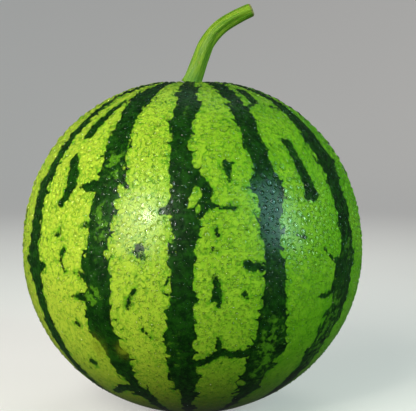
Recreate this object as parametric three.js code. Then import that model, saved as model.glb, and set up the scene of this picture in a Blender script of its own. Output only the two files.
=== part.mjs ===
// A whole round watermelon with its stem, in millimetres.
// +Z is up, the flat spot it rests on is at z = 0, and the origin is that spot's centre.
// The stem bends towards +X, in the plane y = 0.
import * as THREE from "three";

// Driving dimensions of the fruit.
const GIRTH_RADIUS = 110;
const FOOT_RADIUS = 0.218 * GIRTH_RADIUS;
const GIRTH_HEIGHT = 0.92 * GIRTH_RADIUS;
const CROWN_HEIGHT = 1.026 * GIRTH_RADIUS;
const CROWN_POWER = 2.11;

// The dimple around the stem: its depth, how far it spreads, and the flat seat at its bottom.
const DIMPLE_DEPTH = 0.036 * GIRTH_RADIUS;
const DIMPLE_REACH = 0.136 * GIRTH_RADIUS;
const SEAT_RADIUS = 0.082 * GIRTH_RADIUS;

// How finely the round body is cut.
const SEGMENTS = 64;
const LOWER_RINGS = 14;
const UPPER_RINGS = 14;
const DIMPLE_RINGS = 5;
const DIMPLE_EDGE = 2.2 * DIMPLE_REACH;

// The stem's middle line: how far sideways and how high its cut end is, where its root is,
// and the two points that steer its bend, as shares of that reach and rise.
const STEM_GAP = 0.3;
const STEM_REACH = 0.336 * GIRTH_RADIUS;
const STEM_RISE = 0.432 * GIRTH_RADIUS;
const ROOT_OFFSET = -0.016 * GIRTH_RADIUS;
const LOWER_STEER = { x: 0.228, z: 0.47 };
const UPPER_STEER = { x: 0.138, z: 0.72 };

// The stem's thickness: radii at its root and tip, the flare where it joins, its ribs and its soft cut edge.
const ROOT_RADIUS = 5.45;
const TIP_RADIUS = 4.3;
const TAPER_POWER = 1.6;
const ROOT_FLARE = 1.2;
const FLARE_LENGTH = 0.05;
const TIP_ROUNDING = 1.8;
const TIP_RINGS = 3;
const RIBS = 5;
const RIB_DEPTH = 0.06;
const STEM_SIDES = 4 * RIBS;
const STEM_RINGS = 18;

// Height of the upper half's surface above the resting plane, at a distance from the axis.
function crownHeight(radius) {
  const share = Math.min(1, radius / GIRTH_RADIUS);
  const dome = CROWN_HEIGHT * (1 - share ** CROWN_POWER) ** (1 / CROWN_POWER);
  const dimple = DIMPLE_DEPTH * Math.exp(-((radius / DIMPLE_REACH) ** 2));
  return GIRTH_HEIGHT + dome - dimple;
}

// Half the outline, from the middle of the flat spot to the middle of the seat under the stem.
function outline() {
  const points = [new THREE.Vector2(0, 0)];
  const footAngle = Math.acos(FOOT_RADIUS / GIRTH_RADIUS);
  const lowerHeight = GIRTH_HEIGHT / Math.sin(footAngle);
  for (let i = 0; i <= LOWER_RINGS; i += 1) {
    const angle = footAngle * (1 - i / LOWER_RINGS);
    const height = i === 0 ? 0 : GIRTH_HEIGHT - lowerHeight * Math.sin(angle);
    points.push(new THREE.Vector2(GIRTH_RADIUS * Math.cos(angle), height));
  }
  const dimpleAngle = Math.acos(DIMPLE_EDGE / GIRTH_RADIUS);
  for (let i = 1; i <= UPPER_RINGS; i += 1) {
    const radius = GIRTH_RADIUS * Math.cos((dimpleAngle * i) / UPPER_RINGS);
    points.push(new THREE.Vector2(radius, crownHeight(radius)));
  }
  for (let i = 1; i <= DIMPLE_RINGS; i += 1) {
    const radius = THREE.MathUtils.lerp(DIMPLE_EDGE, SEAT_RADIUS, i / DIMPLE_RINGS);
    points.push(new THREE.Vector2(radius, crownHeight(radius)));
  }
  points.push(new THREE.Vector2(0, crownHeight(SEAT_RADIUS)));
  return points;
}

// The whole fruit is one solid turned about the vertical axis.
function makeFruit() {
  const geometry = new THREE.LatheGeometry(outline(), SEGMENTS);
  geometry.rotateX(Math.PI / 2);
  const rind = new THREE.MeshStandardMaterial({ color: 0x4f8f1c, roughness: 0.35 });
  const mesh = new THREE.Mesh(geometry, rind);
  mesh.name = "fruit";
  return mesh;
}

// The stem's middle line: it leaves the seat leaning towards +X, then bends over further.
function stemCurve() {
  const root = crownHeight(SEAT_RADIUS) + STEM_GAP;
  const steer = ({ x, z }) => new THREE.Vector3(x * STEM_REACH, 0, root + z * STEM_RISE);
  return new THREE.CubicBezierCurve3(
    new THREE.Vector3(ROOT_OFFSET, 0, root),
    steer(LOWER_STEER),
    steer(UPPER_STEER),
    new THREE.Vector3(STEM_REACH, 0, root + STEM_RISE),
  );
}

// Thickness along the stem: flared at the root, then tapering to the cut tip.
function stemRadius(share) {
  const taper = (ROOT_RADIUS - TIP_RADIUS) * (1 - share ** TAPER_POWER);
  const flare = ROOT_FLARE * Math.exp(-share / FLARE_LENGTH);
  return TIP_RADIUS + taper + flare;
}

// The rings of the stem: a centre, the way it faces and a radius, from the root to the rounded tip.
function stemRings() {
  const curve = stemCurve();
  const rings = [];
  for (let i = 0; i <= STEM_RINGS; i += 1) {
    const share = i / STEM_RINGS;
    const forward = i === 0 ? new THREE.Vector3(0, 0, 1) : curve.getTangent(share);
    rings.push({ centre: curve.getPoint(share), forward, radius: stemRadius(share) });
  }
  const tip = rings[STEM_RINGS];
  for (let i = 1; i <= TIP_RINGS; i += 1) {
    const angle = (i / TIP_RINGS) * (Math.PI / 2);
    const centre = tip.centre.clone().addScaledVector(tip.forward, TIP_ROUNDING * Math.sin(angle));
    const radius = tip.radius - TIP_ROUNDING * (1 - Math.cos(angle));
    rings.push({ centre, forward: tip.forward, radius });
  }
  return rings;
}

// The stem is one ribbed solid: rings of points across its middle line, closed at both ends.
function makeStem() {
  const rings = stemRings();
  const across = new THREE.Vector3(0, 1, 0);
  const positions = [];
  for (const { centre, forward, radius } of rings) {
    const side = new THREE.Vector3().crossVectors(across, forward).normalize();
    for (let i = 0; i < STEM_SIDES; i += 1) {
      const angle = (2 * Math.PI * i) / STEM_SIDES;
      const ribbed = radius * (1 + RIB_DEPTH * Math.cos(RIBS * angle));
      const point = centre.clone();
      point.addScaledVector(side, ribbed * Math.cos(angle));
      point.addScaledVector(across, ribbed * Math.sin(angle));
      positions.push(point.x, point.y, point.z);
    }
  }
  const rootIndex = positions.length / 3;
  const tipIndex = rootIndex + 1;
  positions.push(...rings[0].centre.toArray(), ...rings[rings.length - 1].centre.toArray());

  const faces = [];
  const lastRing = (rings.length - 1) * STEM_SIDES;
  for (let i = 0; i < STEM_SIDES; i += 1) {
    const next = (i + 1) % STEM_SIDES;
    for (let low = 0; low < lastRing; low += STEM_SIDES) {
      const high = low + STEM_SIDES;
      faces.push(low + i, low + next, high + next);
      faces.push(low + i, high + next, high + i);
    }
    faces.push(rootIndex, next, i);
    faces.push(tipIndex, lastRing + i, lastRing + next);
  }

  const geometry = new THREE.BufferGeometry();
  geometry.setAttribute("position", new THREE.Float32BufferAttribute(positions, 3));
  geometry.setIndex(faces);
  geometry.computeVertexNormals();
  const skin = new THREE.MeshStandardMaterial({ color: 0x7fa23c, roughness: 0.6 });
  const mesh = new THREE.Mesh(geometry, skin);
  mesh.name = "stem";
  return mesh;
}

const group = new THREE.Group();
group.name = "watermelon";
group.add(makeFruit());
group.add(makeStem());

export default group;
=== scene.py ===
"""A whole round watermelon with its stem, beaded with water, on a plain pale floor."""

import itertools
import math

import bpy
import numpy as np
from mathutils import Matrix, Vector


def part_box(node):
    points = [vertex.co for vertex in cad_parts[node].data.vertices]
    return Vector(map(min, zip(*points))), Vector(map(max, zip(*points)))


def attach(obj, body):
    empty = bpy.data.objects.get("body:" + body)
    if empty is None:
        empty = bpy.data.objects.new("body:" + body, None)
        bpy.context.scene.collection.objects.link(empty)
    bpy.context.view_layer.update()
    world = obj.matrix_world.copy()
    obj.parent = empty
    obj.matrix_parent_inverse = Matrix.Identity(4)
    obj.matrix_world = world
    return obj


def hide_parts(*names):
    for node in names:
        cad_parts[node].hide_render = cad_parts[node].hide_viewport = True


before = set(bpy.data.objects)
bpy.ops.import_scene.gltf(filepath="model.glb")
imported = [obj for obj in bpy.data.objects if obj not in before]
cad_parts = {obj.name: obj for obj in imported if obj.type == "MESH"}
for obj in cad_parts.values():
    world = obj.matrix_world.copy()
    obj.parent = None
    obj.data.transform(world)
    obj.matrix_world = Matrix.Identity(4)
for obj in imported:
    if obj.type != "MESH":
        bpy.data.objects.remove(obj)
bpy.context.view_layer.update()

# ---------------------------------------------------------------- sizes from the frame

fruit_low, fruit_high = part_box("fruit")
stem_low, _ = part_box("stem")
MM = 0.001
GIRTH_RADIUS = (fruit_high.x - fruit_low.x) / 2
FOOT_RADIUS = 0.218 * GIRTH_RADIUS
GIRTH_HEIGHT = 0.92 * GIRTH_RADIUS
CROWN_HEIGHT = 1.026 * GIRTH_RADIUS
CROWN_POWER = 2.11
DIMPLE_DEPTH = 0.036 * GIRTH_RADIUS
DIMPLE_REACH = 0.136 * GIRTH_RADIUS

# The blossom scar in the middle of the foot, and the wrinkles in a ring round the stem, in mm.
SCAR_DEPTH = 1.2 * MM
SCAR_REACH = 5 * MM
WRINKLE_HEIGHT = 0.5
WRINKLE_RING = 13
WRINKLE_SPREAD = 6
WRINKLE_COUNT = 11

# How finely the rind is cut, and how many rows of it are under the foot.
COLUMNS = 360
ROWS = 250
FOOT_ROWS = 8

# The stem's middle line: its root, its cut end, and the two points that steer its bend between them.
STEM_REACH = 0.336 * GIRTH_RADIUS
STEM_RISE = 0.432 * GIRTH_RADIUS
STEM_ROOT = Vector((-0.016 * GIRTH_RADIUS, 0, stem_low.z))
STEM_END = Vector((STEM_REACH, 0, stem_low.z + STEM_RISE))
LOWER_STEER = Vector((0.228 * STEM_REACH, 0, stem_low.z + 0.47 * STEM_RISE))
UPPER_STEER = Vector((0.138 * STEM_REACH, 0, stem_low.z + 0.72 * STEM_RISE))

# The main lamp's compass angle from the camera's side, and its height angle.
KEY_LAMP = (-34, 21)


# ---------------------------------------------------------------- the fruit's outline


def crown_height(radius):
    """Height of the upper half's surface at a distance from the axis, with the dimple round the stem."""
    share = np.clip(radius / GIRTH_RADIUS, 0, 1)
    dome = CROWN_HEIGHT * (1 - share**CROWN_POWER) ** (1 / CROWN_POWER)
    return GIRTH_HEIGHT + dome - DIMPLE_DEPTH * np.exp(-((radius / DIMPLE_REACH) ** 2))


def outline(rows):
    """Radius, height and share of the way up the rind, at equal steps from the foot's edge to the stem."""
    foot_angle = math.acos(FOOT_RADIUS / GIRTH_RADIUS)
    lower = np.linspace(foot_angle, 0, 400)
    lower_height = GIRTH_HEIGHT / math.sin(foot_angle)
    upper = np.linspace(0, math.pi / 2, 600)[1:]
    radius = GIRTH_RADIUS * np.concatenate([np.cos(lower), np.cos(upper)])
    height = np.concatenate([GIRTH_HEIGHT - lower_height * np.sin(lower), crown_height(radius[400:])])
    way = np.concatenate([[0], np.cumsum(np.hypot(np.diff(radius), np.diff(height)))])
    share = np.linspace(0, 1, rows + 1)
    return (
        np.interp(share * way[-1], way, radius),
        np.interp(share * way[-1], way, height),
        share,
        way[-1],
    )


# ---------------------------------------------------------------- the stripes

# Each dark stripe is a few points (share of the way up, longitude, half width), in degrees.
# Longitude 0 faces the camera and grows to the right.
FRONT_STRIPES = {
    "far_left": [
        (1, -62, 9), (0.86, -63, 4), (0.8, -61.5, 3.5), (0.7, -60.3, 2.6), (0.6, -61, 3.4),
        (0.55, -61, 3), (0.5, -60.6, 3.6), (0.45, -60, 4.6), (0.4, -58, 2.9), (0.3, -56, 3),
        (0.2, -54.5, 3), (0, -50, 2),
    ],
    "left": [
        (1, -36, 9), (0.85, -35.2, 7.6), (0.8, -33.7, 6.2), (0.75, -31.5, 4.6), (0.7, -30.5, 5),
        (0.65, -28.5, 4.5), (0.55, -28.7, 4.2), (0.5, -29.2, 3.2), (0.45, -29.2, 4.2),
        (0.35, -29.4, 4.3), (0.3, -25.7, 4.2), (0.25, -25, 3), (0.2, -23, 3), (0.15, -20, 2.5),
        (0, -16, 2),
    ],
    "middle": [
        (1, -5, 9), (0.9, -5, 7), (0.8, -2.6, 7.1), (0.75, -4.2, 5.2), (0.7, -4.8, 3.3),
        (0.65, -3.7, 4.2), (0.6, -1.3, 5.8), (0.55, -2.2, 4.2), (0.5, -2.5, 3), (0.4, -3.5, 3.5),
        (0.3, -3.7, 4.2), (0.25, -3, 5), (0.2, -2.2, 2.8), (0, -2.5, 3),
    ],
    "right": [
        (1, 29, 9), (0.9, 28.5, 7.6), (0.85, 27, 5.8), (0.8, 25, 4.3), (0.7, 24, 3.8), (0.65, 25, 3.8),
        (0.6, 25.8, 5.1), (0.55, 24, 3.5), (0.5, 23.9, 2.7), (0.45, 24.8, 3.4), (0.4, 25, 3.8),
        (0.3, 25, 6), (0.25, 23.5, 4.6), (0.2, 24.5, 4.4), (0.15, 21.5, 2.6), (0, 19, 2.5),
    ],
    "far_right": [
        (1, 66, 7), (0.86, 65, 5.5), (0.8, 62, 5.5), (0.7, 58.6, 5.5), (0.65, 59, 6.2), (0.6, 57, 4),
        (0.5, 57.5, 3.5), (0.45, 55.2, 5.2), (0.38, 54, 5), (0.3, 49.6, 4.3), (0.2, 48.7, 4.6),
        (0, 45, 3),
    ],
}

# The middles of the stripes round the back, which wander by themselves.
BACK_STRIPES = (89, 119, 149, 178, -152, -121, -92)

# Spikes, bridges and islands on the side in view: longitude and share up at both ends, then widths in mm.
FRONT_STROKES = [
    # beside the far left stripe
    (-59, 0.45, -52.5, 0.452, 8, 2.5), (-64, 0.455, -68, 0.452, 6, 1), (-65, 0.6, -67, 0.605, 4, 1),
    # the broken stripe between the far left and left ones
    (-48.3, 0.712, -47.5, 0.755, 5, 5.5), (-47.5, 0.755, -46, 0.81, 5, 2),
    (-48.5, 0.658, -45.5, 0.63, 4, 6), (-45.5, 0.63, -44.3, 0.607, 6.4, 6.4),
    (-44.3, 0.607, -46.5, 0.572, 6.4, 3), (-46.5, 0.572, -48.5, 0.568, 2.4, 1),
    (-46, 0.513, -43.5, 0.505, 1.6, 0.8), (-46, 0.513, -49, 0.51, 1.4, 0.6),
    (-46, 0.513, -45, 0.53, 1.4, 0.6), (-42.8, 0.488, -44, 0.468, 1.8, 1.8),
    (-44, 0.468, -41.5, 0.452, 1.8, 0.8), (-39, 0.358, -38, 0.352, 1.8, 1),
    (-38.5, 0.27, -37.6, 0.27, 3, 2.4), (-38, 0.28, -38, 0.258, 1.2, 0.8), (-39, 0.175, -31, 0.2, 3, 5),
    (-31, 0.2, -25, 0.205, 5, 6),
    # beside the left stripe
    (-33, 0.607, -40, 0.605, 6, 1), (-24.5, 0.63, -21.5, 0.608, 5, 1),
    (-32, 0.54, -35.5, 0.535, 3.5, 0.8), (-33, 0.447, -37, 0.452, 3.5, 0.8),
    (-33, 0.41, -38.5, 0.408, 4, 0.8), (-35, 0.79, -41, 0.83, 5, 2), (-25, 0.255, -21.5, 0.275, 4, 1),
    (-23, 0.185, -28.5, 0.18, 3, 1),
    # between the left and middle stripes
    (-15.6, 0.502, -15.2, 0.489, 3.4, 3), (-16.8, 0.496, -14, 0.498, 1.6, 1),
    (-16.5, 0.432, -19, 0.416, 0.9, 1.2), (-19, 0.416, -19, 0.395, 1.3, 0.8),
    (-13.8, 0.352, -13, 0.342, 1.8, 1), (-15, 0.36, -14, 0.352, 0.8, 0.8),
    # beside the middle stripe, with the loop round its light window
    (-6, 0.568, -9.3, 0.57, 6, 2), (-7, 0.33, -10, 0.338, 3, 0.8), (-6, 0.22, -7.5, 0.21, 3, 0.8),
    (0.5, 0.63, 4.4, 0.606, 6, 4.4), (4.4, 0.606, 5, 0.58, 4.4, 3), (5, 0.58, 2, 0.558, 3, 2.4),
    (5, 0.58, 8.5, 0.573, 2, 1), (8.5, 0.573, 13.5, 0.573, 1, 0.7), (10.5, 0.575, 12, 0.585, 1, 0.6),
    # between the middle and right stripes
    (11.5, 0.658, 12, 0.645, 2.4, 3.6), (12, 0.645, 12.2, 0.62, 2, 0.7),
    (12, 0.65, 14, 0.657, 1.6, 0.7), (12, 0.65, 9.8, 0.655, 1.6, 0.7), (7, 0.535, 7.4, 0.528, 2, 1.4),
    (6, 0.503, 7, 0.5, 1.6, 0.8), (6.4, 0.455, 7, 0.432, 1, 4), (7, 0.432, 7.4, 0.404, 4, 1),
    (6.5, 0.418, 4.8, 0.413, 1.8, 0.8), (15.3, 0.424, 15.7, 0.416, 1.8, 1.4),
    (0, 0.288, 4, 0.289, 5, 2.2), (4, 0.289, 8.5, 0.312, 2.2, 5), (8.5, 0.312, 13, 0.304, 4.4, 3.2),
    (13, 0.304, 21, 0.309, 3.2, 6), (8.3, 0.315, 7.6, 0.345, 3.4, 0.8),
    # beside the right stripe
    (24, 0.868, 19, 0.882, 5, 1.4), (21.5, 0.605, 17.3, 0.608, 3, 0.7), (28, 0.592, 31.3, 0.588, 4, 1),
    (21, 0.468, 15.5, 0.472, 3, 3.2), (27, 0.338, 31.5, 0.338, 5, 1), (27, 0.268, 31.5, 0.27, 5, 1),
    (23, 0.2, 17.5, 0.19, 5, 1),
    # the broken stripe between the right and far right ones
    (43, 0.86, 39.6, 0.815, 5.5, 5.5), (38.2, 0.806, 32, 0.795, 1.6, 1),
    (40, 0.698, 40.8, 0.655, 5, 4.6), (40.8, 0.655, 42.2, 0.605, 4.6, 7),
    (42.2, 0.605, 43, 0.59, 7, 6.5), (40, 0.586, 43.5, 0.588, 2.5, 4), (33, 0.52, 36, 0.514, 0.9, 1.2),
    # beside the far right stripe
    (54.5, 0.79, 49.8, 0.793, 2.4, 0.8), (54, 0.463, 49, 0.466, 4, 1.6),
    (49, 0.466, 44.3, 0.49, 1.6, 0.7), (50, 0.412, 46, 0.402, 4, 1.2),
    (46, 0.402, 42.5, 0.405, 1.2, 0.6), (59, 0.468, 63.3, 0.474, 5, 1), (60, 0.65, 66, 0.652, 7, 1.5),
    (50, 0.37, 46.5, 0.362, 4, 1),
]

# Light windows inside a dark stripe: longitude, share up, half width in degrees, half height in shares.
FRONT_WINDOWS = [(1, 0.588, 2.1, 0.024)]

# Where a stripe is more flecked with light green: longitude, share up, reach in degrees and shares, strength.
FRONT_MOTTLES = [
    (-28, 0.65, 5, 0.035, 1), (-31, 0.415, 4, 0.02, 0.9), (25.5, 0.3, 5, 0.09, 1),
    (51, 0.33, 5, 0.12, 0.8), (-29, 0.54, 4, 0.05, 0.6), (-5, 0.32, 4, 0.05, 0.5),
    (57, 0.48, 5, 0.05, 0.5), (-3, 0.79, 4, 0.04, 0.4),
]

# The yellow-brown scuffs, two in view and one behind: longitude, share up, reach in degrees and in shares.
SCUFFS = [(-32.6, 0.308, 2.6, 0.022), (-23, 0.31, 2.0, 0.014), (128, 0.4, 3, 0.02)]

# The stripes round the back: how many points and slow waves each has, its half widths, and the seeds.
BACK_POINTS = 17
BACK_WAVES = 4
WAVE_TURNS = 0.9
BACK_HALF_WIDTH = 3.9
BACK_LEAST_HALF = 2.2
BACK_CROWN_GAIN = 4.5
BACK_SEED = 100
STROKE_SEED = 11
BACK_STROKE_COUNT = 110

# A stroke's half width as a share of its stated width, since the ragged edge eats into it.
STROKE_HALF = 0.65

# The value of the stripe fields far from every stripe, in mm.
FAR_OUTSIDE = -60.0
OUTSIDE = -20.0


def smooth_wander(share, seed, swing):
    """A slow sideways wander along a stripe: the same for the same seed."""
    random = np.random.default_rng(seed)
    phases = random.uniform(0, 2 * math.pi, BACK_WAVES)
    waves = 0
    for k in range(BACK_WAVES):
        waves = waves + np.sin(2 * math.pi * (k + 1) * WAVE_TURNS * share + phases[k]) / (k + 1)
    return swing * waves


def back_stripe(middle, seed):
    """Points of one stripe round the back, in the style of the ones in view."""
    points = []
    for share in np.linspace(1, 0, BACK_POINTS):
        width = BACK_HALF_WIDTH + smooth_wander(share, seed + 50, 0.9)
        width = width + BACK_CROWN_GAIN * max(0, share - 0.8) / 0.2
        points.append((share, middle + smooth_wander(share, seed, 1.5), max(BACK_LEAST_HALF, width)))
    return points


def back_strokes(count):
    """Spikes and islands for the sides out of view."""
    random = np.random.default_rng(STROKE_SEED)
    strokes = []
    while len(strokes) < count:
        start = random.uniform(72, 288)
        up = random.uniform(0.16, 0.88)
        turn = random.uniform(0, 2 * math.pi)
        far = abs(random.normal(0, 2.4)) + 1
        end = start + far * math.cos(turn)
        end_up = up + 0.006 * far * math.sin(turn)
        width = random.uniform(1.2, 4.2)
        strokes.append((start, up, end, end_up, width, random.uniform(0.6, 1.5)))
        if random.random() < 0.5:
            strokes.append((start, up, start - 0.5 * far, up + random.uniform(-0.012, 0.012), width, 0.7))
    return strokes


def degrees_between(a, b):
    """The signed way round from b to a, in degrees."""
    return (a - b + 180) % 360 - 180


def stripe_field(longitude, share, radius, length):
    """How far each point is inside the dark stripes, and inside the strokes, in mm; below zero outside."""
    degree = np.maximum(radius, 2 * MM) * math.radians(1) / MM
    field = np.full(longitude.shape, FAR_OUTSIDE)
    stripes = list(FRONT_STRIPES.values())
    stripes += [back_stripe(middle, BACK_SEED + i) for i, middle in enumerate(BACK_STRIPES)]
    for points in stripes:
        ups, middles, halves = (np.array(p) for p in zip(*points[::-1]))
        off = np.abs(degrees_between(longitude, np.interp(share, ups, middles)))
        field = np.maximum(field, (np.interp(share, ups, halves) - off) * degree)
    thin = np.full(longitude.shape, FAR_OUTSIDE)
    for start, up, end, end_up, width, end_width in FRONT_STROKES + back_strokes(BACK_STROKE_COUNT):
        x = degrees_between(longitude, start) * degree
        y = (share - up) * length / MM
        dx = degrees_between(end, start) * degree
        dy = (end_up - up) * length / MM
        along = np.clip((x * dx + y * dy) / (dx * dx + dy * dy + 1e-9), 0, 1)
        off = np.hypot(x - along * dx, y - along * dy)
        thin = np.maximum(thin, STROKE_HALF * (width + (end_width - width) * along) - off)
    for middle, up, half, half_up in FRONT_WINDOWS:
        x = degrees_between(longitude, middle) / half
        y = (share - up) / half_up
        field = np.minimum(field, (np.hypot(x, y) - 1) * half * degree)
    return field, thin


def mottle_field(longitude, share):
    """How flecked with light green the stripes are, from 0 to 1."""
    field = np.full(longitude.shape, 0.15)
    for middle, up, reach, reach_up, strength in FRONT_MOTTLES:
        x = degrees_between(longitude, middle) / reach
        y = (share - up) / reach_up
        field = np.maximum(field, strength * np.exp(-x * x - y * y))
    back = 0.35 + 0.4 * np.sin(np.radians(longitude * 5)) * np.sin(share * 17 + np.radians(longitude * 2))
    return np.maximum(field, np.where(np.abs(longitude) > 75, back, 0))


def stain_field(longitude, share):
    """How strong the scuffs are, from 0 to 1."""
    field = np.zeros(longitude.shape)
    for middle, up, reach, reach_up in SCUFFS:
        x = degrees_between(longitude, middle) / reach
        y = (share - up) / reach_up
        field = np.maximum(field, np.exp(-x * x - y * y))
    return field


# ---------------------------------------------------------------- mesh helpers


def new_object(name, vertices, faces, smooth=True):
    """A mesh object from plain lists, linked to the scene."""
    mesh = bpy.data.meshes.new(name)
    mesh.from_pydata(vertices, [], faces)
    mesh.update()
    mesh.polygons.foreach_set("use_smooth", [smooth] * len(mesh.polygons))
    piece = bpy.data.objects.new(name, mesh)
    bpy.context.scene.collection.objects.link(piece)
    return piece


def point_attribute(piece, name, values):
    """Stores one number at each point, for the material to read."""
    attribute = piece.data.attributes.new(name, "FLOAT", "POINT")
    attribute.data.foreach_set("value", np.asarray(values, np.float32).ravel())


# ---------------------------------------------------------------- the rind


def lumps(longitude, share):
    """Slow unevenness of the grown fruit, in mm."""
    around = np.radians(longitude)
    swell = 0.35 * np.sin(3 * around + 5 * share + 1) + 0.3 * np.sin(5 * around - 7 * share)
    ribs = 0.22 * np.cos(12 * around + 0.6 * np.sin(6 * share))
    return (swell + ribs) * np.clip(share / 0.15, 0, 1) * np.clip((1 - share) / 0.1, 0, 1)


def unwrap_rind(piece, quads, rings):
    """One flat map of the skin: the way round goes across, the way up goes up."""
    column = np.arange(COLUMNS)
    left = column / COLUMNS
    right = (column + 1) / COLUMNS
    row = np.arange(rings + 2) / (rings + 1)
    low, start = np.meshgrid(row[1:-2], left, indexing="ij")
    high, end = np.meshgrid(row[2:-1], right, indexing="ij")
    side = np.stack([start, low, end, low, end, high, start, high], -1).reshape(-1)
    middle = (left + right) / 2
    level = np.ones(COLUMNS)
    foot = np.stack([middle, 0 * level, right, row[1] * level, left, row[1] * level], -1).reshape(-1)
    seat = np.stack([middle, level, left, row[-2] * level, right, row[-2] * level], -1).reshape(-1)
    layer = piece.data.uv_layers.new(name="OFBake")
    layer.data.foreach_set("uv", np.concatenate([side, foot, seat]).astype(np.float32))


def make_rind():
    """The whole skin of the fruit: the foot it rests on, the round side and the dimple at the stem."""
    radius, height, share, length = outline(ROWS)
    foot = np.linspace(0, 1, FOOT_ROWS + 1)[1:-1] * FOOT_RADIUS
    scar = SCAR_DEPTH * np.exp(-((foot / SCAR_REACH) ** 2))
    rings_r = np.concatenate([foot, radius[:-1]])
    rings_z = np.concatenate([scar, height[:-1]])
    rings_t = np.concatenate([0 * foot, share[:-1]])
    columns = np.arange(COLUMNS) * 360 / COLUMNS - 180
    lon, up = np.meshgrid(columns, rings_t)
    ring_radius = np.repeat(rings_r[:, None], COLUMNS, 1)
    ring = np.exp(-(((ring_radius / MM - WRINKLE_RING) / WRINKLE_SPREAD) ** 2))
    wrinkle = WRINKLE_HEIGHT * ring * (up > 0.8)
    bulge = (lumps(lon, up) + wrinkle * np.cos(np.radians(lon * WRINKLE_COUNT))) * MM
    angle = np.radians(lon)
    x = (ring_radius + bulge * (up > 0)) * np.sin(angle)
    y = -(ring_radius + bulge * (up > 0)) * np.cos(angle)
    z = np.repeat(rings_z[:, None], COLUMNS, 1)
    vertices = np.stack([x, y, z], -1).reshape(-1, 3)
    bottom = len(vertices)
    vertices = np.concatenate([vertices, [[0, 0, SCAR_DEPTH], [0, 0, height[-1]]]])
    rings = len(rings_r)
    index = np.arange(rings * COLUMNS).reshape(rings, COLUMNS)
    right = np.roll(index, -1, 1)
    quads = np.stack([index[:-1], right[:-1], right[1:], index[1:]], -1).reshape(-1, 4)
    faces = quads.tolist()
    faces += [[bottom, int(right[0, i]), int(index[0, i])] for i in range(COLUMNS)]
    faces += [[bottom + 1, int(index[-1, i]), int(right[-1, i])] for i in range(COLUMNS)]
    piece = new_object("rind", vertices.tolist(), faces)

    unwrap_rind(piece, quads, rings)
    stripe, stroke = stripe_field(lon, up, ring_radius, length)
    ends = [OUTSIDE, OUTSIDE]
    point_attribute(piece, "stripe", np.append(stripe.ravel(), ends))
    point_attribute(piece, "stroke", np.append(stroke.ravel(), ends))
    point_attribute(piece, "mottle", np.append(mottle_field(lon, up).ravel(), [0, 0]))
    point_attribute(piece, "stain", np.append(stain_field(lon, up).ravel(), [0, 0]))
    point_attribute(piece, "share", np.append(up.ravel(), [0, 1]))
    return piece


# ---------------------------------------------------------------- node helpers


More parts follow.
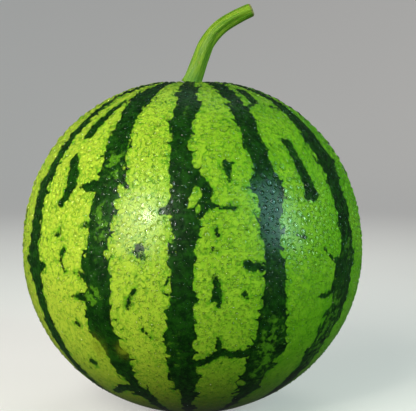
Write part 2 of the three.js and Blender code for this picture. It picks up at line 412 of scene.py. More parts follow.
class Nodes:
    """Short names for the shader nodes used below."""

    def __init__(self, name):
        self.material = bpy.data.materials.new(name)
        self.material.use_nodes = True
        self.tree = self.material.node_tree
        self.tree.nodes.clear()
        self.shader = self.tree.nodes.new("ShaderNodeBsdfPrincipled")
        self.output = self.tree.nodes.new("ShaderNodeOutputMaterial")
        self.tree.links.new(self.shader.outputs[0], self.output.inputs[0])

    def put(self, socket, value):
        """Links or sets one input."""
        if isinstance(value, bpy.types.NodeSocket):
            self.tree.links.new(value, socket)
        else:
            socket.default_value = value

    def set(self, **inputs):
        """Sets the main shader's inputs; an underscore in a name is a space."""
        for name, value in inputs.items():
            self.put(self.shader.inputs[name.replace("_", " ")], value)

    def place(self):
        """The point's place on the object, in mm."""
        coordinates = self.tree.nodes.new("ShaderNodeTexCoord")
        return self.scaled(coordinates.outputs["Object"], (1000, 1000, 1000))

    def scaled(self, vector, scale):
        node = self.tree.nodes.new("ShaderNodeVectorMath")
        node.operation = "MULTIPLY"
        self.put(node.inputs[0], vector)
        self.put(node.inputs[1], scale)
        return node.outputs[0]

    def moved(self, vector, by):
        node = self.tree.nodes.new("ShaderNodeVectorMath")
        node.operation = "ADD"
        self.put(node.inputs[0], vector)
        self.put(node.inputs[1], by)
        return node.outputs[0]

    def shaken(self, vector, size, reach):
        """An offset of up to about half of reach mm, which changes over size mm."""
        centred = self.moved(self.noise(vector, size, 2, output="Color"), (-0.5, -0.5, -0.5))
        return self.scaled(centred, (reach,) * 3)

    def swing(self, value, reach):
        """Noise from 0 to 1, turned into a swing about zero."""
        return self.calc("MULTIPLY", self.calc("SUBTRACT", value, 0.5), reach)

    def attribute(self, name, output="Fac"):
        node = self.tree.nodes.new("ShaderNodeAttribute")
        node.attribute_name = name
        return node.outputs[output]

    def axis(self, vector, index):
        """One coordinate of a vector."""
        node = self.tree.nodes.new("ShaderNodeSeparateXYZ")
        self.put(node.inputs[0], vector)
        return node.outputs[index]

    def calc(self, operation, a, b=0.0, clamp=False):
        node = self.tree.nodes.new("ShaderNodeMath")
        node.operation = operation
        node.use_clamp = clamp
        self.put(node.inputs[0], a)
        self.put(node.inputs[1], b)
        return node.outputs[0]

    def step(self, value, low, high, start=0.0, end=1.0):
        """A smooth step from start to end, as value goes from low to high."""
        node = self.tree.nodes.new("ShaderNodeMapRange")
        node.interpolation_type = "SMOOTHSTEP"
        for socket, setting in zip(node.inputs, (value, low, high, start, end)):
            self.put(socket, setting)
        return node.outputs[0]

    def noise(self, vector, size, detail=3.0, roughness=0.55, output="Fac"):
        """Noise whose lumps are about size mm across."""
        node = self.tree.nodes.new("ShaderNodeTexNoise")
        self.put(node.inputs["Vector"], vector)
        self.put(node.inputs["Scale"], 1 / size)
        self.put(node.inputs["Detail"], detail)
        self.put(node.inputs["Roughness"], roughness)
        return node.outputs[output]

    def cells(self, vector, size, feature="F1", output="Distance", randomness=1.0):
        """Voronoi cells about size mm across."""
        node = self.tree.nodes.new("ShaderNodeTexVoronoi")
        node.feature = feature
        self.put(node.inputs["Vector"], vector)
        self.put(node.inputs["Scale"], 1 / size)
        self.put(node.inputs["Randomness"], randomness)
        return node.outputs[output]

    def mix(self, factor, a, b):
        """Blends two colours."""
        node = self.tree.nodes.new("ShaderNodeMix")
        node.data_type = "RGBA"
        self.put(node.inputs["Factor"], factor)
        self.put(node.inputs[6], a)
        self.put(node.inputs[7], b)
        return node.outputs[2]

    def bump(self, height, distance, strength=1.0):
        node = self.tree.nodes.new("ShaderNodeBump")
        self.put(node.inputs["Height"], height)
        self.put(node.inputs["Distance"], distance)
        self.put(node.inputs["Strength"], strength)
        return node.outputs[0]


# ---------------------------------------------------------------- rind material


# The light rind's greens: at its left with painted light, at its right with painted shade, in fresher
# patches, and low down with painted shade. Then its markings.
PAINTED_LIT_SIDE_RIND = (0.34, 0.455, 0.032, 1)
PAINTED_SHADED_SIDE_RIND = (0.118, 0.345, 0.002, 1)
FRESH_RIND = (0.35, 0.56, 0.03, 1)
PAINTED_SHADE_LOW_RIND = (0.11, 0.17, 0.006, 1)
GRAIN_GREEN = (0.095, 0.29, 0.005, 1)
PALE_GREEN = (0.40, 0.58, 0.035, 1)
VEIN_GREEN = (0.05, 0.21, 0.004, 1)
CRACK_GREEN = (0.02, 0.11, 0.004, 1)
SPECK_GREEN = (0.04, 0.18, 0.004, 1)
HALO_GREEN = (0.07, 0.26, 0.004, 1)

# The dark stripes' greens, and the brown of a scuff.
DEEPEST_STRIPE = (0.0016, 0.017, 0.0010, 1)
DEEP_STRIPE = (0.007, 0.050, 0.002, 1)
STRIPE_FLECK = (0.02, 0.11, 0.005, 1)
CROWN_STRIPE = (0.0018, 0.016, 0.004, 1)
STRIPE_NET = (0.085, 0.25, 0.008, 1)
SCUFF_BROWN = (0.17, 0.24, 0.010, 1)

# The sizes of the cells that shape the stripes' edges and of the ones between the veins, in mm.
EDGE_CELL = 8.5
VEIN_CELL = 4.2


def stripe_depth(n, place, ruffled):
    """How far inside a stripe or a stroke a point is, in mm, with ragged edges."""
    bent = n.moved(place, n.shaken(place, 6, 5))

    # Dark cusps run out between light lobes, in some places more than in others.
    to_edge = n.calc("MULTIPLY", n.cells(bent, EDGE_CELL, "DISTANCE_TO_EDGE"), EDGE_CELL)
    patchy = n.step(n.noise(place, 8, 1), 0.4, 0.6)
    cusp = n.calc("MULTIPLY", n.step(to_edge, 0, 1.0, 2.6, 0), patchy)
    lobe = n.step(to_edge, 0.3, 3.2, -0.7, 1.1)
    lobe = n.calc("MULTIPLY", lobe, n.step(n.noise(place, 17, 1), 0.36, 0.6, 0.15, 1.25))

    # Slow bays and fine raggedness.
    bays = n.swing(n.noise(place, 8, 3), 5)
    coarse = n.swing(n.noise(place, 2.4, 2), 2.0)
    fine = n.swing(n.noise(place, 0.9, 2, 0.7), 1.3)
    ragged = n.calc("ADD", coarse, fine)
    inside = n.calc("ADD", n.calc("ADD", n.attribute("stripe"), bays), ragged)
    inside = n.calc("ADD", inside, n.calc("SUBTRACT", cusp, lobe))

    # The strokes are shaken more, and the lobes bite less into them.
    shaky = n.calc("ADD", n.swing(n.noise(ruffled, 3.8, 3, 0.6), 5.5), ragged)
    stroke = n.calc("ADD", n.attribute("stroke"), 0.2)
    bitten = n.calc("SUBTRACT", shaky, n.calc("MULTIPLY", lobe, 0.5))
    return n.calc("MAXIMUM", inside, n.calc("ADD", stroke, bitten))


def light_rind(n, place, ruffled, share, halo):
    """Painted light at the left, painted shade at the right and low down, slow changes of green, then darker
    grain, broken veins, cracks, specks and the stripes' halo.
    """
    # Painted light and shade: the rind goes from a lit green at its left to a shaded green at its right.
    away = n.step(n.axis(place, 0), -80, 90)
    light = n.mix(away, PAINTED_LIT_SIDE_RIND, PAINTED_SHADED_SIDE_RIND)
    light = n.mix(n.step(n.noise(place, 34, 3), 0.35, 0.65, 0, 0.35), light, FRESH_RIND)
    # Painted shade: the rind turns darker towards the foot.
    light = n.mix(n.step(share, 0.36, 0.05, 0, 0.8), light, PAINTED_SHADE_LOW_RIND)
    grain = n.step(n.noise(n.scaled(ruffled, (1, 1, 0.6)), 1.7, 3, 0.65), 0.46, 0.7, 0, 0.68)
    light = n.mix(grain, light, GRAIN_GREEN)
    pale = n.step(n.noise(ruffled, 2.6, 3, 0.6), 0.56, 0.74, 0, 0.4)
    light = n.mix(pale, light, PALE_GREEN)

    vein_edge = n.calc("MULTIPLY", n.cells(ruffled, VEIN_CELL, "DISTANCE_TO_EDGE"), VEIN_CELL)
    vein_line = n.step(vein_edge, 0.1, 0.5, 1, 0)
    veins = n.calc("MULTIPLY", vein_line, n.step(n.noise(place, 5, 2), 0.44, 0.6))
    light = n.mix(n.calc("MULTIPLY", veins, n.step(share, 0.4, 0.75, 0.5, 0.75)), light, VEIN_GREEN)

    wander = n.calc("ABSOLUTE", n.calc("SUBTRACT", n.noise(ruffled, 5.5, 1), 0.5))
    crack_line = n.step(wander, 0.004, 0.022, 1, 0)
    cracks = n.calc("MULTIPLY", crack_line, n.step(n.noise(place, 4.4, 1), 0.55, 0.62))
    light = n.mix(n.calc("MULTIPLY", cracks, 0.85), light, CRACK_GREEN)

    speck = n.step(n.cells(n.scaled(ruffled, (1, 1, 0.5)), 2.3), 0.1, 0.19, 1, 0)
    specks = n.calc("MULTIPLY", speck, n.step(n.noise(place, 3, 1), 0.48, 0.56))
    light = n.mix(n.calc("MULTIPLY", specks, 0.8), light, SPECK_GREEN)

    broken = n.step(n.noise(place, 3.4, 2), 0.44, 0.6, 0.12, 0.9)
    return n.mix(n.calc("MULTIPLY", halo, broken), light, HALO_GREEN)


def dark_stripe(n, place, ruffled, share, inside):
    """Deep green, darkest near the stem, with a paler net where the stripes are mottled."""
    cloudy = n.step(n.noise(place, 5, 4, 0.65), 0.38, 0.66)
    deep = n.mix(cloudy, DEEPEST_STRIPE, DEEP_STRIPE)
    fleck = n.step(n.noise(n.scaled(ruffled, (1, 1, 0.5)), 1.6, 2), 0.55, 0.74, 0, 0.5)
    deep = n.mix(fleck, deep, STRIPE_FLECK)
    deep = n.mix(n.step(share, 0.74, 0.92, 0, 0.6), deep, CROWN_STRIPE)

    net = n.step(n.noise(ruffled, 3.4, 2, 0.6), 0.42, 0.62)
    wanted = n.calc("MULTIPLY", n.attribute("mottle"), 0.5)
    missing = n.calc("MULTIPLY", n.noise(place, 4.5, 2), 0.62)
    gate = n.step(n.calc("SUBTRACT", wanted, missing), -0.17, 0.04)
    heart = n.step(inside, 0.3, 2.2)
    paler = n.calc("MULTIPLY", n.calc("MULTIPLY", net, gate), n.calc("MULTIPLY", heart, 0.8))
    return n.mix(paler, deep, STRIPE_NET)


def rind_material():
    """Ragged dark stripes on a veined and flecked light rind, with a waxy gloss."""
    n = Nodes("striped_rind")
    place = n.place()
    share = n.attribute("share")
    ruffled = n.moved(place, n.shaken(place, 2.2, 2.4))
    inside = stripe_depth(n, place, ruffled)
    dark = n.step(inside, -0.55, 0.55)
    halo = n.step(inside, -3.8, 0.2)
    light = light_rind(n, place, ruffled, share, halo)
    deep = dark_stripe(n, place, ruffled, share, inside)
    colour = n.mix(dark, light, deep)
    scuff = n.calc("MULTIPLY", n.attribute("stain"), n.step(n.noise(place, 3, 3), 0.3, 0.6, 0.2, 0.9))
    n.set(Base_Color=n.mix(scuff, colour, SCUFF_BROWN))

    # A waxy skin under a thin wet film, with tiny beads too small to model.
    gloss = n.step(n.noise(place, 4, 3), 0.3, 0.7, 0.34, 0.44)
    n.set(Roughness=gloss, Specular_IOR_Level=0.1, Coat_Weight=0.38, Coat_Roughness=0.17, IOR=1.45)
    pores = n.noise(place, 0.9, 2)
    mist = n.step(n.cells(place, 1.4), 0.12, 0.36, 1, 0)
    wet = n.calc("MULTIPLY", mist, n.step(share, 0.12, 0.5, 0.2, 1))
    skin = n.calc("ADD", n.calc("MULTIPLY", pores, 0.3), wet)
    n.set(Normal=n.bump(skin, 0.0004, 0.8))
    return n.material


# ---------------------------------------------------------------- water drops

# How many water drops lie on the fruit. Their half widths are in mm: the middle one, how far they spread as a
# logarithm, the limits, and where one kind ends and the next begins.
DROP_COUNT = 9600
DROP_TRIES = 12 * DROP_COUNT
DROP_MIDDLE = 0.84
DROP_SPREAD = 0.48
DROP_LIMITS = (0.42, 2.6)
FINE_BELOW = 0.85 * MM
LARGE_ABOVE = 1.5 * MM

# The shares of the way up that drops reach, and how wide they grow at each height before they run off.
DROP_LOWEST = 0.05
DROP_HIGHEST = 0.965
WIDEST_AT = ([0.1, 0.36, 0.5, 0.7, 0.95], [0.6, 0.8, 1.7, 2.4, 1.3])

# How far apart two drops keep, in their half widths, and the side of the search grid's cells.
DROP_GAP = 1.16
GRID_SIDE = 6 * MM

# How tall drops stand, how much they stretch and are out of round, and how far they sag on a steep side.
TALL = (0.5, 0.7)
STRETCH = 0.16
STRETCH_ABOVE = 0.7 * MM
TURN_SPREAD = 0.5
OVAL = 0.1
THREE_LOBED = 0.05
SAG = 0.16

# The light a drop lets through, a painted caustic set for the main lamp: its even part, the bright spot's
# extra, that spot's place and spread, and the part that is left at the foot of the rim. Then the painted
# shadow where lamp light enters a drop, and the tint of the light let through.
EVEN_LIGHT = 0.55
SPOT_LIGHT = 1.3
SPOT_PLACE = -0.5
SPOT_SPREAD = 0.28
RIM_LIGHT = 0.5
PAINTED_DROP_SHADOW = (0.15, 0.17, 0.15, 1)
LIT_TINT = (1.0, 1.0, 1.1)

# Each size of drop: its sides, and its rings as shares of its half width and of its height.
BEAD_SHAPES = {
    "fine": (6, [(1.0, -0.25), (0.82, 0.55)]),
    "middling": (7, [(1.0, -0.2), (0.92, 0.4), (0.58, 0.83)]),
    "large": (12, [(1.0, -0.16), (0.97, 0.25), (0.82, 0.6), (0.47, 0.89)]),
}


def compass(azimuth, elevation):
    """The direction at an angle round from the camera's side and an angle up, in degrees."""
    around = math.radians(azimuth)
    up = math.radians(elevation)
    return Vector((math.sin(around) * math.cos(up), -math.cos(around) * math.cos(up), math.sin(up)))


def surface_point(longitude, share, table):
    """A point on the rind, its outward direction, and the direction straight down the rind."""
    ups, radii, heights = table
    radius = np.interp(share, ups, radii)
    height = np.interp(share, ups, heights)
    step = 0.004
    d_radius = np.interp(share + step, ups, radii) - np.interp(share - step, ups, radii)
    d_height = np.interp(share + step, ups, heights) - np.interp(share - step, ups, heights)
    size = np.hypot(d_radius, d_height)
    slope_out = d_height / size
    slope_up = -d_radius / size
    angle = np.radians(longitude)
    ahead = np.stack([np.sin(angle), -np.cos(angle), 0 * angle], -1)
    up = np.array([0, 0, 1.0])
    radius = radius + lumps(longitude, share) * MM
    point = ahead * radius[:, None] + up * height[:, None]
    outward = ahead * slope_out[:, None] + up * slope_up[:, None]
    down = ahead * slope_up[:, None] - up * slope_out[:, None]
    return point, outward, down


def scatter_drops():
    """Seeded places and half widths for the drops, thick on the upper part, none touching another."""
    random = np.random.default_rng(7)
    radius, height, share, _ = outline(400)
    table = (share, radius, height)
    widths = np.exp(random.normal(math.log(DROP_MIDDLE), DROP_SPREAD, DROP_TRIES))
    widths = np.clip(widths, *DROP_LIMITS)
    order = np.argsort(-widths, kind="stable")
    widths = widths[order] * MM
    longitude = random.uniform(-180, 180, DROP_TRIES)
    up = random.uniform(DROP_LOWEST, DROP_HIGHEST, DROP_TRIES)
    ring = np.interp(up, share, radius) / GIRTH_RADIUS
    thick = np.clip((up - DROP_LOWEST) / 0.35, 0.15, 1)
    keep = random.uniform(0, 1, DROP_TRIES) < ring * thick
    keep &= widths < np.interp(up, *WIDEST_AT) * MM
    longitude, up, widths = longitude[keep], up[keep], widths[keep]
    points, outward, down = surface_point(longitude, up, table)
    grid = {}
    chosen = []
    for i, point in enumerate(points):
        home = tuple((point // GRID_SIDE).astype(int))
        near = []
        for step in itertools.product((-1, 0, 1), repeat=3):
            near += grid.get((home[0] + step[0], home[1] + step[1], home[2] + step[2]), [])
        if all(np.linalg.norm(points[j] - point) > DROP_GAP * (widths[j] + widths[i]) for j in near):
            grid.setdefault(home, []).append(i)
            chosen.append(i)
            if len(chosen) == DROP_COUNT:
                break
    chosen = np.array(chosen)
    return points[chosen], outward[chosen], down[chosen], widths[chosen]


def light_slant(outward):
    """The way along the rind towards the main lamp, and how slantwise its light falls."""
    lamp = np.array(compass(*KEY_LAMP))
    facing = outward @ lamp
    along = lamp - outward * facing[:, None]
    slant = np.linalg.norm(along, axis=1)
    return along / slant[:, None], np.where(facing > 0, slant, 1)


def focus(offset, towards, slant, up):
    """How much light a drop passes at a point on its skin, a painted caustic set for the main lamp: most on
    the side away from the lamp.
    """
    spot = SPOT_PLACE * towards * slant[:, None]
    flat = (offset * towards[:, None]).sum(-1)
    beside = (offset**2).sum(-1) - flat**2
    wanted = (spot * towards).sum(-1)[:, None]
    away = (flat - wanted) ** 2 + np.maximum(beside - (0.6 * up) ** 2, 0)
    rim = RIM_LIGHT + (1 - RIM_LIGHT) * min(1, max(up, 0) / 0.5)
    return rim * (EVEN_LIGHT + SPOT_LIGHT * np.exp(-away / SPOT_SPREAD))


def bead_mesh(points, outward, down, widths, shape, random):
    """Vertices and faces of many closed domes of one kind, each a little different."""
    sides, rings = BEAD_SHAPES[shape]
    count = len(points)
    across = np.cross(outward, down)
    tall = widths * random.uniform(*TALL, count)
    stretch = 1 + np.abs(random.normal(0, STRETCH, count)) * (widths > STRETCH_ABOVE)
    turn = random.normal(0, TURN_SPREAD, count)
    long_way = down * np.cos(turn)[:, None] + across * np.sin(turn)[:, None]
    short_way = np.cross(outward, long_way)
    angle = np.arange(sides) * 2 * math.pi / sides
    oval = OVAL * random.normal(0, 1, (count, 1))
    wobble = 1 + oval * np.cos(2 * angle + random.uniform(0, 6, (count, 1)))
    wobble = wobble + THREE_LOBED * np.cos(3 * angle + random.uniform(0, 6, (count, 1)))
    steep = np.clip(1 - np.abs(outward[:, 2]), 0, 1)
    sag = SAG * widths * steep
    towards, slant = light_slant(outward)
    parts = []
    painted_caustic = []
    for out, up in rings:
        reach = wobble * out * widths[:, None]
        x = reach * np.cos(angle) * stretch[:, None]
        y = reach * np.sin(angle)
        lifted = (outward * (tall * up)[:, None])[:, None]
        sunk = (down * (sag * max(up, 0))[:, None])[:, None]
        ring = points[:, None] + long_way[:, None] * x[..., None] + short_way[:, None] * y[..., None]
        ring = ring + lifted + sunk
        parts.append(ring)
        offset = (ring - points[:, None]) / widths[:, None, None]
        painted_caustic.append(focus(offset, towards, slant, up))
    top = points + outward * tall[:, None] + down * sag[:, None]
    parts.append(top[:, None])
    painted_caustic.append(focus((outward * 0.6)[:, None], towards, slant, 1))
    vertices = np.concatenate(parts, 1)
    each = vertices.shape[1]
    faces = [list(range(sides))[::-1]]
    for level in range(len(rings) - 1):
        for i in range(sides):
            a = level * sides + i
            b = level * sides + (i + 1) % sides
            faces.append([a, b, b + sides, a + sides])
    last = (len(rings) - 1) * sides
    faces += [[last + i, last + (i + 1) % sides, each - 1] for i in range(sides)]
    all_faces = [[v + k * each for v in face] for k in range(count) for face in faces]
    return vertices.reshape(-1, 3), all_faces, np.concatenate(painted_caustic, 1).reshape(-1)


def make_drops():
    """All the water on the rind: one piece for each size of drop."""
    random = np.random.default_rng(19)
    points, outward, down, widths = scatter_drops()
    kinds = {"fine": widths < FINE_BELOW, "large": widths > LARGE_ABOVE}
    kinds["middling"] = ~(kinds["fine"] | kinds["large"])
    pieces = []
    for kind, those in kinds.items():
        chosen = (points[those], outward[those], down[those], widths[those])
        vertices, faces, painted_caustic = bead_mesh(*chosen, kind, random)
        piece = new_object("water_" + kind, vertices.tolist(), faces)
        point_attribute(piece, "painted_caustic", painted_caustic)
        pieces.append(piece)
    return pieces


def water_material():
    """Clear water. Lamp light goes straight through to the rind, with a painted caustic set for the main lamp
    and a painted shadow, in place of the light a real drop gathers.
    """
    n = Nodes("water")
    n.set(Base_Color=(1, 1, 1, 1), Roughness=0.02, IOR=1.333, Transmission_Weight=1.0)
    rays = n.tree.nodes.new("ShaderNodeLightPath")
    through = n.tree.nodes.new("ShaderNodeBsdfTransparent")
    facing = n.tree.nodes.new("ShaderNodeNewGeometry")
    leaving = facing.outputs["Backfacing"]
    painted_caustic = n.scaled(n.attribute("painted_caustic", "Vector"), LIT_TINT)
    # Painted shadow where lamp light enters a drop, painted caustic where it leaves.
    n.put(through.inputs[0], n.mix(leaving, PAINTED_DROP_SHADOW, painted_caustic))
    seen = n.shader.outputs[0]
    for kind in ("Is Glossy Ray", "Is Diffuse Ray", "Is Shadow Ray"):
        join = n.tree.nodes.new("ShaderNodeMixShader")
        n.put(join.inputs[0], rays.outputs[kind])
        n.put(join.inputs[1], seen)
        n.put(join.inputs[2], through.outputs[0])
        seen = join.outputs[0]
    n.put(n.output.inputs[0], seen)
    return n.material


# ---------------------------------------------------------------- the stem

STEM_RINGS = 96
STEM_SIDES = 60

# Half thickness in mm: at the cut, what the taper adds towards the root, and the flare at the root itself.
STEM_HALF = 4.3
TAPER_GAIN = 1.15
TAPER_POWER = 1.6
FLARE_GAIN = 1.2
FLARE_LENGTH = 0.05

# The cut end closes in rings: each one's scale, and how far in mm it lies ahead of the middle line's end.
CUT_RINGS = [
    (1.0, 0.0), (0.975, 0.55), (0.92, 1.05), (0.83, 1.45),
    (0.71, 1.65), (0.57, 1.6), (0.4, 1.45), (0.2, 1.35),
]
CUT_MIDDLE = 1.3

STEM_DARK = (0.065, 0.175, 0.005, 1)
STEM_GREEN = (0.175, 0.30, 0.012, 1)
STEM_RIB = (0.27, 0.36, 0.06, 1)
STEM_GROOVE = (0.04, 0.12, 0.008, 1)
STEM_BLOTCH = (0.26, 0.22, 0.06, 1)
STEM_ROOT_GREEN = (0.08, 0.20, 0.02, 1)
STEM_CUT = (0.34, 0.36, 0.12, 1)
STEM_CUT_RIM = (0.16, 0.10, 0.035, 1)


def stem_centre(share):
    """A point on the stem's middle line and the way it runs there, from the root to the cut tip."""
    a, b, c, d = STEM_ROOT, LOWER_STEER, UPPER_STEER, STEM_END
    rest = 1 - share
    point = a * rest**3 + b * (3 * rest * rest * share) + c * (3 * rest * share * share) + d * share**3
    run = (b - a) * (3 * rest * rest) + (c - b) * (6 * rest * share) + (d - c) * (3 * share * share)
    return point, run.normalized()


def stem_radius(share, angle):
    """Half thickness: flared at the root, tapered towards the cut, ribbed and a little knotty."""
    base = STEM_HALF + TAPER_GAIN * (1 - share**TAPER_POWER) + FLARE_GAIN * math.exp(-share / FLARE_LENGTH)
    turned = angle + 0.5 * share
    ribs = 0.04 * np.cos(5 * turned) + 0.03 * np.cos(8 * turned + 1 + 2 * share)
    ribs = ribs + 0.02 * np.cos(3 * turned - 3 * share)
    knots = 0.02 * np.sin(9 * share + 2 * angle) + 0.015 * np.sin(23 * share + 3 * angle)
    return base * MM * (1 + ribs + knots)


def make_stem():
    """The ribbed stem, closed over a shallow sunken cut end."""
    angle = np.arange(STEM_SIDES) * 2 * math.pi / STEM_SIDES
    across = Vector((0, 1, 0))
    rings = []
    along = []
    around = []
    levels = [(i / STEM_RINGS, 1.0, 0.0) for i in range(STEM_RINGS)]
    levels += [(1, scale, ahead) for scale, ahead in CUT_RINGS]
    for share, scale, ahead in levels:
        point, run = stem_centre(share)
        side = across.cross(run).normalized()
        point = point + run * ahead * MM
        radius = stem_radius(share, angle) * scale
        ring = np.array(point) + np.outer(radius * np.cos(angle), side)
        ring = ring + np.outer(radius * np.sin(angle), across)
        rings.append(ring)
        along.append(np.full(STEM_SIDES, share if scale == 1 else 1.0 + (1 - scale)))
        around.append(angle)
    vertices = np.concatenate(rings)
    tip, run = stem_centre(1)
    vertices = np.concatenate([vertices, [list(STEM_ROOT), list(tip + run * CUT_MIDDLE * MM)]])
    index = np.arange(len(levels) * STEM_SIDES).reshape(len(levels), STEM_SIDES)
    right = np.roll(index, -1, 1)
    faces = np.stack([index[:-1], right[:-1], right[1:], index[1:]], -1).reshape(-1, 4).tolist()
    end = len(vertices) - 1
    faces += [[end - 1, int(right[0, i]), int(index[0, i])] for i in range(STEM_SIDES)]
    faces += [[end, int(index[-1, i]), int(right[-1, i])] for i in range(STEM_SIDES)]
    piece = new_object("stem_skin", vertices.tolist(), faces)
    along = np.append(np.concatenate(along), [0, 2])
    around = np.append(np.concatenate(around), [0, 0])
    point_attribute(piece, "along", along)
    point_attribute(piece, "round_x", np.cos(around))
    point_attribute(piece, "round_y", np.sin(around))
    return piece


def stem_material():
    """Green plant skin, paler on its ribs, streaked lengthwise, darker green near the root, and browned at
    the cut.
    """
    n = Nodes("stem_green")
    place = n.place()
    along = n.attribute("along")
    join = n.tree.nodes.new("ShaderNodeCombineXYZ")
    n.put(join.inputs[0], n.calc("MULTIPLY", n.attribute("round_x"), 6))
    n.put(join.inputs[1], n.calc("MULTIPLY", n.attribute("round_y"), 6))
    n.put(join.inputs[2], n.calc("MULTIPLY", along, 5))
    streak = n.noise(join.outputs[0], 1.5, 4, 0.6)
    fine = n.noise(join.outputs[0], 0.5, 3, 0.6)
    colour = n.mix(n.step(streak, 0.38, 0.64), STEM_DARK, STEM_GREEN)
    colour = n.mix(n.step(fine, 0.5, 0.72, 0, 0.6), colour, STEM_RIB)
    colour = n.mix(n.step(fine, 0.46, 0.3, 0, 0.5), colour, STEM_GROOVE)
    blotch = n.step(n.noise(place, 3.2, 4, 0.65), 0.6, 0.72, 0, 0.75)
    colour = n.mix(blotch, colour, STEM_BLOTCH)
    colour = n.mix(n.step(along, 0.2, 0.0, 0, 0.6), colour, STEM_ROOT_GREEN)
    colour = n.mix(n.step(along, 1.005, 1.08), colour, STEM_CUT)
    ring = n.calc("MULTIPLY", n.step(along, 1.0, 1.03), n.step(along, 1.2, 1.08))
    colour = n.mix(n.calc("MULTIPLY", ring, 0.7), colour, STEM_CUT_RIM)
    n.set(Base_Color=colour, Roughness=n.step(streak, 0.3, 0.7, 0.36, 0.52), Specular_IOR_Level=0.25)
    grain = n.calc("ADD", n.calc("MULTIPLY", streak, 0.8), n.calc("MULTIPLY", fine, 0.5))
    n.set(Normal=n.bump(grain, 0.0006, 0.8))
    return n.material


# ---------------------------------------------------------------- floor, light and camera


# The floor in metres: its flat part's radius, the radius of the sweep at its edge, the backdrop's height.
FLOOR_RADIUS = 1.3
SWEEP_RADIUS = 0.8
BACKDROP_HEIGHT = 3.0
FLOOR_RINGS = 12
SWEEP_RINGS = 16
FLOOR_SIDES = 96

# Its paper's two tones, and how much it shines by itself to stay pale.
PAPER = (0.54, 0.54, 0.53, 1)
PALER_PAPER = (0.58, 0.58, 0.57, 1)
PAPER_SHINE = 0.28

# Each lamp: compass angle and height angle in degrees, distance and size in metres, power in watts, colour,
# and whether the gloss mirrors it. The mirrored ones at the front make the highlights; the others only light.
LAMPS = {
    "key": (*KEY_LAMP, 1.35, (0.6, 0.85), 3.25, (1.0, 0.97, 0.85), True),
    "spark": (-30, 24, 1.3, (0.09, 0.09), 0.7, (1.0, 0.97, 0.88), True),
    "strip": (53, 22, 1.2, (0.4, 0.75), 1.35, (0.42, 1.0, 0.92), True),
    "gleam": (67, 15, 1.2, (0.3, 0.6), 0.7, (0.8, 1.0, 0.85), True),
    "glint": (59, 12, 1.2, (0.1, 0.16), 0.16, (0.85, 1.0, 0.92), True),
    "crown": (172, 60, 1.7, (1.0, 0.8), 0.22, (0.8, 0.93, 1.0), True),
    "left": (-70, 14, 1.35, (0.7, 0.7), 2.9, (1.0, 0.96, 0.88), False),
    "upper": (-34, 42, 1.35, (0.5, 0.5), 1.6, (1.0, 0.99, 0.9), False),
    "right": (100, 16, 1.35, (0.4, 0.8), 1.05, (0.95, 1.0, 0.9), False),
    "rear": (172, 42, 1.7, (0.9, 0.9), 2.1, (1.0, 0.98, 0.92), False),
}
LAMP_SPREAD = 90
ROOM_COLOUR = (0.95, 0.97, 1.0, 1)
ROOM_STRENGTH = 0.05

# The camera: degrees above level, distance, the height it aims at, lens in mm, and the degrees it then turns
# so that the fruit stands a little left of and below the picture's middle.
CAMERA_ELEVATION = 8
CAMERA_DISTANCE = 5.5 * GIRTH_RADIUS
AIM_HEIGHT = 0.955 * GIRTH_RADIUS
SENSOR_WIDTH = 36
LENS = 78.9
TURN_RIGHT = 0.955
TURN_UP = 2.548


def paper_material():
    """Matt pale paper with a faint slow change of tone."""
    n = Nodes("pale_paper")
    place = n.place()
    tone = n.mix(n.noise(place, 400, 2), PAPER, PALER_PAPER)
    grain = n.bump(n.noise(place, 1.5, 3), 0.0002, 0.3)
    n.set(Base_Color=tone, Roughness=0.9, Specular_IOR_Level=0.2, Normal=grain)
    n.set(Emission_Color=(1, 1, 1, 1), Emission_Strength=PAPER_SHINE)
    return n.material


def make_floor():
    """A wide round floor whose edge sweeps up into a plain backdrop on every side."""
    turn = np.linspace(0, math.pi / 2, SWEEP_RINGS + 1)[1:]
    flat = np.linspace(0.05, FLOOR_RADIUS, FLOOR_RINGS)
    swept = FLOOR_RADIUS + SWEEP_RADIUS * np.sin(turn)
    radius = np.concatenate([flat, swept, [FLOOR_RADIUS + SWEEP_RADIUS]])
    height = np.concatenate([0 * flat, SWEEP_RADIUS * (1 - np.cos(turn)), [BACKDROP_HEIGHT]])
    sides = FLOOR_SIDES
    angle = np.arange(sides) * 2 * math.pi / sides
    x = radius[:, None] * np.cos(angle)
    y = radius[:, None] * np.sin(angle)
    z = np.repeat(height[:, None], sides, 1)
    vertices = np.stack([x, y, z], -1).reshape(-1, 3).tolist() + [[0, 0, 0]]
    index = np.arange(len(radius) * sides).reshape(len(radius), sides)
    right = np.roll(index, -1, 1)
    faces = np.stack([index[:-1], right[:-1], right[1:], index[1:]], -1).reshape(-1, 4).tolist()
    faces = [face[::-1] for face in faces]
    faces += [[len(vertices) - 1, int(index[0, i]), int(right[0, i])] for i in range(sides)]
    floor = new_object("floor", vertices, faces)
    floor.data.materials.append(paper_material())
    floor.visible_diffuse = False
    floor.visible_glossy = False


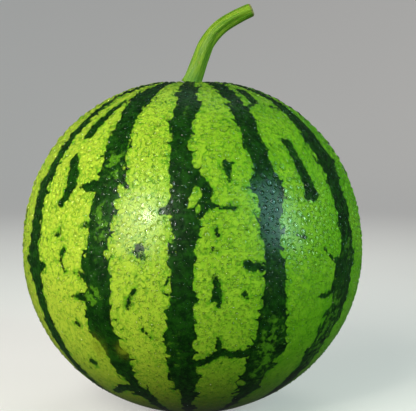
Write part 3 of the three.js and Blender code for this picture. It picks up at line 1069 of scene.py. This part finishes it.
def softbox(name, azimuth, elevation, distance, size, power, colour, mirrored):
    """A soft lamp at a compass angle from the camera's side, aimed at the fruit's middle."""
    light = bpy.data.lights.new(name, "AREA")
    light.shape = "RECTANGLE"
    light.size = size[0]
    light.size_y = size[1]
    light.energy = power
    light.spread = math.radians(LAMP_SPREAD)
    light.color = colour
    away = compass(azimuth, elevation)
    lamp = bpy.data.objects.new(name, light)
    lamp.location = Vector((0, 0, GIRTH_HEIGHT)) + away * distance
    lamp.rotation_euler = away.to_track_quat("Z", "Y").to_euler()
    lamp.visible_glossy = mirrored
    bpy.context.scene.collection.objects.link(lamp)


def make_lights():
    """All the lamps, and a weak even fill from the room."""
    for name, setting in LAMPS.items():
        softbox(name, *setting)
    world = bpy.data.worlds.new("room")
    world.use_nodes = True
    background = world.node_tree.nodes["Background"]
    background.inputs[0].default_value = ROOM_COLOUR
    background.inputs[1].default_value = ROOM_STRENGTH
    bpy.context.scene.world = world


def make_camera():
    """A camera a little above the fruit's middle, looking slightly down at it."""
    elevation = math.radians(CAMERA_ELEVATION)
    aim = Vector((0, 0, AIM_HEIGHT))
    back = Vector((0, -math.cos(elevation), math.sin(elevation)))
    data = bpy.data.cameras.new("camera")
    data.sensor_width = SENSOR_WIDTH
    data.lens = LENS
    data.clip_start = 0.01
    camera = bpy.data.objects.new("camera", data)
    turned_right = Matrix.Rotation(math.radians(-TURN_RIGHT), 4, "Y")
    turned_up = Matrix.Rotation(math.radians(TURN_UP), 4, "X")
    facing = back.to_track_quat("Z", "Y").to_matrix().to_4x4()
    place = Matrix.Translation(aim + back * CAMERA_DISTANCE)
    camera.matrix_world = place @ facing @ turned_right @ turned_up
    bpy.context.scene.collection.objects.link(camera)
    bpy.context.scene.camera = camera


# ---------------------------------------------------------------- the scene

make_camera()
make_floor()
make_lights()
bpy.context.scene.view_settings.view_transform = "Standard"

rind = make_rind()
rind.data.materials.append(rind_material())
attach(rind, "root")
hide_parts("fruit")

water = water_material()
for drops in make_drops():
    drops.data.materials.append(water)
    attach(drops, "root")

stem = make_stem()
stem.data.materials.append(stem_material())
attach(stem, "root")
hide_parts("stem")
